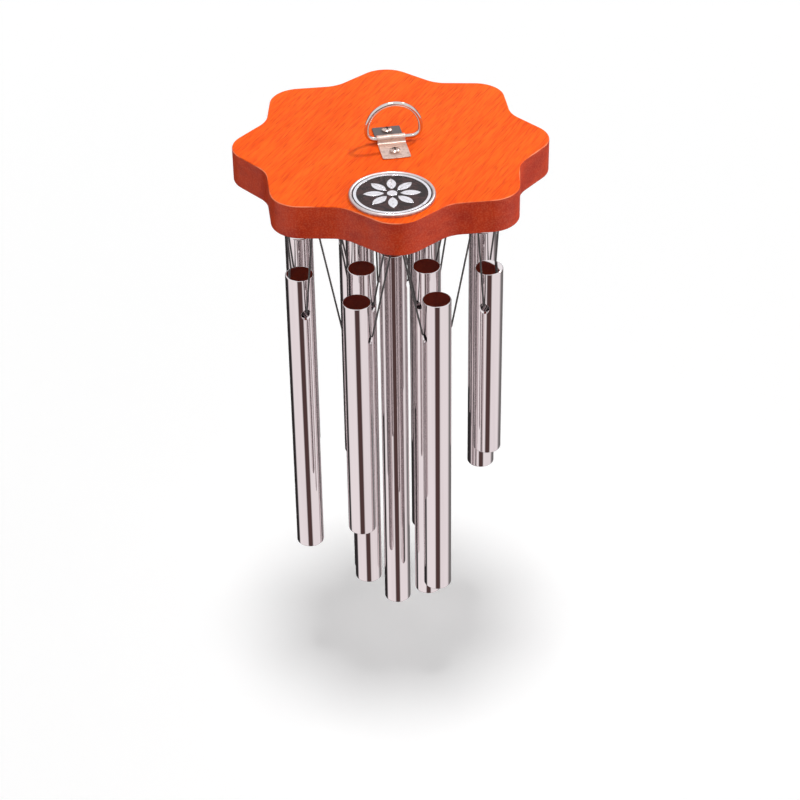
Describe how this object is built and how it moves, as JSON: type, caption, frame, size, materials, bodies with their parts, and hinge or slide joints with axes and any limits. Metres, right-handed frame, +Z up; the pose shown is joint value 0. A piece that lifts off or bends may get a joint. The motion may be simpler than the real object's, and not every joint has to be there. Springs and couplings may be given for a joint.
{
  "type": "hand chime",
  "caption": "Hand chime: a lobed wooden head on a D-ring carries polished solid metal bars on cords, which ring when they swing together.",
  "frame": {"origin": "hook point: the inside of the D-ring's top, where a hook, a stand's arm or a finger carries it", "axes": "+Z up; -Y is the badge side; +X to the right seen from the badge side. The head's lobes lie on the axes, and the D-ring and its strap are turned 8 degrees on it, as in the picture"},
  "size_m": [0.152, 0.152, 0.3039],
  "materials": {
    "stained_wood": "orange-brown stained mahogany under satin lacquer",
    "nickel_wire": "nickel-plated round wire",
    "nickel_sheet": "nickel-plated sheet",
    "nickel_screws": "nickel-plated",
    "badge_metal": "bright plated",
    "black_enamel": "black enamel fill",
    "eye_wire": "zinc-plated wire",
    "black_cord": "black twisted cord",
    "bar_metal": "mirror-polished solid alloy bar"
  },
  "bodies": {
    "hook_ring": {"hang_ring": "nickel_wire"},
    "head": {"ring_strap": "nickel_sheet", "strap_screws": "nickel_screws", "wooden_head": "stained_wood", "badge_rim": "badge_metal", "badge_face": "black_enamel", "badge_rosette": "badge_metal", "outer_eyes": "eye_wire", "inner_eyes": "eye_wire", "centre_eyes": "eye_wire"},
    "outer_1_cord_swing": {"outer_cord_1": "black_cord"},
    "outer_1_bar_swing": {"outer_bar_1": "bar_metal"},
    "outer_2_cord_swing": {"outer_cord_2": "black_cord"},
    "outer_2_bar_swing": {"outer_bar_2": "bar_metal"},
    "outer_3_cord_swing": {"outer_cord_3": "black_cord"},
    "outer_3_bar_swing": {"outer_bar_3": "bar_metal"},
    "outer_4_cord_swing": {"outer_cord_4": "black_cord"},
    "outer_4_bar_swing": {"outer_bar_4": "bar_metal"},
    "outer_5_cord_swing": {"outer_cord_5": "black_cord"},
    "outer_5_bar_swing": {"outer_bar_5": "bar_metal"},
    "outer_6_cord_swing": {"outer_cord_6": "black_cord"},
    "outer_6_bar_swing": {"outer_bar_6": "bar_metal"},
    "outer_7_cord_swing": {"outer_cord_7": "black_cord"},
    "outer_7_bar_swing": {"outer_bar_7": "bar_metal"},
    "outer_8_cord_swing": {"outer_cord_8": "black_cord"},
    "outer_8_bar_swing": {"outer_bar_8": "bar_metal"},
    "inner_1_cord_swing": {"inner_cord_1": "black_cord"},
    "inner_1_bar_swing": {"inner_bar_1": "bar_metal"},
    "inner_2_cord_swing": {"inner_cord_2": "black_cord"},
    "inner_2_bar_swing": {"inner_bar_2": "bar_metal"},
    "inner_3_cord_swing": {"inner_cord_3": "black_cord"},
    "inner_3_bar_swing": {"inner_bar_3": "bar_metal"},
    "inner_4_cord_swing": {"inner_cord_4": "black_cord"},
    "inner_4_bar_swing": {"inner_bar_4": "bar_metal"},
    "centre_cord_swing": {"centre_cord": "black_cord"},
    "centre_bar_swing": {"centre_bar": "bar_metal"}
  },
  "joints": [
    {"name": "ring_hinge", "type": "hinge", "parent": "hook_ring", "child": "head", "pos_m": [0, 0, -0.017], "axis": [0.9903, 0.1392, 0], "range_deg": [-85, 85]},
    {"name": "outer_1_eyes", "type": "hinge", "parent": "head", "child": "outer_1_cord_swing", "pos_m": [0.01775, -0.04639, -0.04165], "axis": [-0.9239, -0.3827, 0], "range_deg": [-2.5, 50]},
    {"name": "outer_1_cross_hole", "type": "hinge", "parent": "outer_1_cord_swing", "child": "outer_1_bar_swing", "pos_m": [0.01775, -0.04639, -0.09805], "axis": [-0.9239, -0.3827, 0], "range_deg": [-3.5, 30]},
    {"name": "outer_2_eyes", "type": "hinge", "parent": "head", "child": "outer_2_cord_swing", "pos_m": [0.04481, -0.01933, -0.04165], "axis": [-0.3827, -0.9239, 0], "range_deg": [-3.5, 50]},
    {"name": "outer_2_cross_hole", "type": "hinge", "parent": "outer_2_cord_swing", "child": "outer_2_bar_swing", "pos_m": [0.04481, -0.01933, -0.09805], "axis": [-0.3827, -0.9239, 0], "range_deg": [-6, 30]},
    {"name": "outer_3_eyes", "type": "hinge", "parent": "head", "child": "outer_3_cord_swing", "pos_m": [0.04481, 0.01894, -0.04165], "axis": [0.3827, -0.9239, 0], "range_deg": [-2.5, 50]},
    {"name": "outer_3_cross_hole", "type": "hinge", "parent": "outer_3_cord_swing", "child": "outer_3_bar_swing", "pos_m": [0.04481, 0.01894, -0.09805], "axis": [0.3827, -0.9239, 0], "range_deg": [-4, 30]},
    {"name": "outer_4_eyes", "type": "hinge", "parent": "head", "child": "outer_4_cord_swing", "pos_m": [0.01775, 0.046, -0.04165], "axis": [0.9239, -0.3827, 0], "range_deg": [-3.5, 50]},
    {"name": "outer_4_cross_hole", "type": "hinge", "parent": "outer_4_cord_swing", "child": "outer_4_bar_swing", "pos_m": [0.01775, 0.046, -0.09805], "axis": [0.9239, -0.3827, 0], "range_deg": [-5.5, 30]},
    {"name": "outer_5_eyes", "type": "hinge", "parent": "head", "child": "outer_5_cord_swing", "pos_m": [-0.02052, 0.046, -0.04165], "axis": [0.9239, 0.3827, 0], "range_deg": [-2.5, 50]},
    {"name": "outer_5_cross_hole", "type": "hinge", "parent": "outer_5_cord_swing", "child": "outer_5_bar_swing", "pos_m": [-0.02052, 0.046, -0.09805], "axis": [0.9239, 0.3827, 0], "range_deg": [-4, 30]},
    {"name": "outer_6_eyes", "type": "hinge", "parent": "head", "child": "outer_6_cord_swing", "pos_m": [-0.04758, 0.01894, -0.04165], "axis": [0.3827, 0.9239, 0], "range_deg": [-3, 50]},
    {"name": "outer_6_cross_hole", "type": "hinge", "parent": "outer_6_cord_swing", "child": "outer_6_bar_swing", "pos_m": [-0.04758, 0.01894, -0.09805], "axis": [0.3827, 0.9239, 0], "range_deg": [-5, 30]},
    {"name": "outer_7_eyes", "type": "hinge", "parent": "head", "child": "outer_7_cord_swing", "pos_m": [-0.04758, -0.01933, -0.04165], "axis": [-0.3827, 0.9239, 0], "range_deg": [-2.5, 50]},
    {"name": "outer_7_cross_hole", "type": "hinge", "parent": "outer_7_cord_swing", "child": "outer_7_bar_swing", "pos_m": [-0.04758, -0.01933, -0.09805], "axis": [-0.3827, 0.9239, 0], "range_deg": [-3.5, 30]},
    {"name": "outer_8_eyes", "type": "hinge", "parent": "head", "child": "outer_8_cord_swing", "pos_m": [-0.02052, -0.04639, -0.04165], "axis": [-0.9239, 0.3827, 0], "range_deg": [-3, 50]},
    {"name": "outer_8_cross_hole", "type": "hinge", "parent": "outer_8_cord_swing", "child": "outer_8_bar_swing", "pos_m": [-0.02052, -0.04639, -0.09805], "axis": [-0.9239, 0.3827, 0], "range_deg": [-4.5, 30]},
    {"name": "inner_1_eyes", "type": "hinge", "parent": "head", "child": "inner_1_cord_swing", "pos_m": [0.01452, -0.0161, -0.04165], "axis": [-0.7071, -0.7071, 0], "range_deg": [-1, 28]},
    {"name": "inner_1_cross_hole", "type": "hinge", "parent": "inner_1_cord_swing", "child": "inner_1_bar_swing", "pos_m": [0.01452, -0.0161, -0.09805], "axis": [-0.7071, -0.7071, 0], "range_deg": [-1, 22]},
    {"name": "inner_2_eyes", "type": "hinge", "parent": "head", "child": "inner_2_cord_swing", "pos_m": [0.01452, 0.01572, -0.04165], "axis": [0.7071, -0.7071, 0], "range_deg": [-1, 28]},
    {"name": "inner_2_cross_hole", "type": "hinge", "parent": "inner_2_cord_swing", "child": "inner_2_bar_swing", "pos_m": [0.01452, 0.01572, -0.09805], "axis": [0.7071, -0.7071, 0], "range_deg": [-1, 22]},
    {"name": "inner_3_eyes", "type": "hinge", "parent": "head", "child": "inner_3_cord_swing", "pos_m": [-0.0173, 0.01572, -0.04165], "axis": [0.7071, 0.7071, 0], "range_deg": [-1, 28]},
    {"name": "inner_3_cross_hole", "type": "hinge", "parent": "inner_3_cord_swing", "child": "inner_3_bar_swing", "pos_m": [-0.0173, 0.01572, -0.09805], "axis": [0.7071, 0.7071, 0], "range_deg": [-1, 22]},
    {"name": "inner_4_eyes", "type": "hinge", "parent": "head", "child": "inner_4_cord_swing", "pos_m": [-0.0173, -0.0161, -0.04165], "axis": [-0.7071, 0.7071, 0], "range_deg": [-1, 28]},
    {"name": "inner_4_cross_hole", "type": "hinge", "parent": "inner_4_cord_swing", "child": "inner_4_bar_swing", "pos_m": [-0.0173, -0.0161, -0.09805], "axis": [-0.7071, 0.7071, 0], "range_deg": [-1, 22]},
    {"name": "centre_eyes", "type": "hinge", "parent": "head", "child": "centre_cord_swing", "pos_m": [-0.00139, -0.00019, -0.04165], "axis": [-1, 0, 0], "range_deg": [-10, 10]},
    {"name": "centre_cross_hole", "type": "hinge", "parent": "centre_cord_swing", "child": "centre_bar_swing", "pos_m": [-0.00139, -0.00019, -0.09805], "axis": [-1, 0, 0], "range_deg": [-24, 24]}
  ]
}
